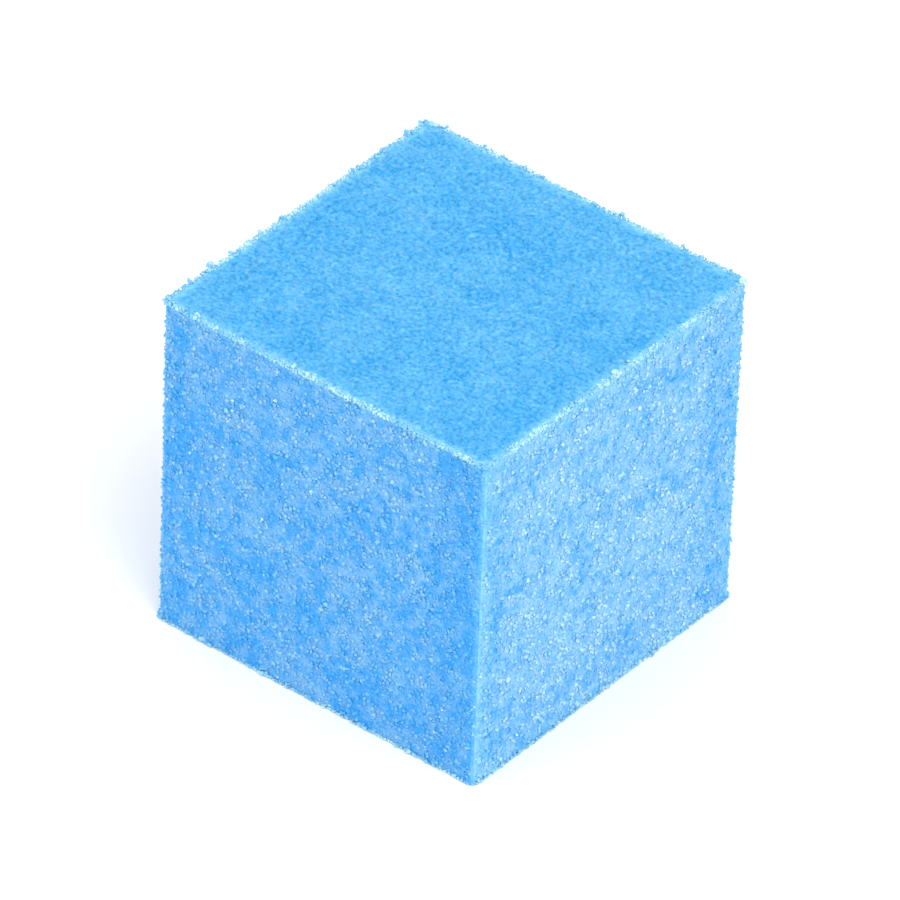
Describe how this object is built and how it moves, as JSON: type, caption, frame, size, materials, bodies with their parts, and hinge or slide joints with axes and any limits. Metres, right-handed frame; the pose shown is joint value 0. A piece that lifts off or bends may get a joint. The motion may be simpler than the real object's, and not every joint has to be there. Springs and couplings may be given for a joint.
{
  "type": "nail buffer block",
  "caption": "Small near-cubic blue foam block with abrasive grit on its long sides and bare foam on its cut faces, for filing and buffing nails.",
  "frame": {"origin": "middle of the bottom cut face", "axes": "+Z along the foam bar that the block was sliced from, from one cut face to the other; -Y front and +X right, both coated with abrasive"},
  "size_m": [0.025, 0.025, 0.0237],
  "materials": {
    "foam": "fine matt closed-cell foam",
    "make_resin": "dyed resin film, satin",
    "grains": "angular clear to white mineral grains",
    "size_resin": "thin clear blue resin, satin"
  },
  "bodies": {
    "root": {"foam_core": "foam", "make_coat_front": "make_resin", "make_coat_right": "make_resin", "make_coat_back": "make_resin", "make_coat_left": "make_resin", "grain_layer_front": "grains", "grain_layer_right": "grains", "grain_layer_back": "grains", "grain_layer_left": "grains", "size_coat_front": "size_resin", "size_coat_right": "size_resin", "size_coat_back": "size_resin", "size_coat_left": "size_resin"}
  },
  "joints": []
}
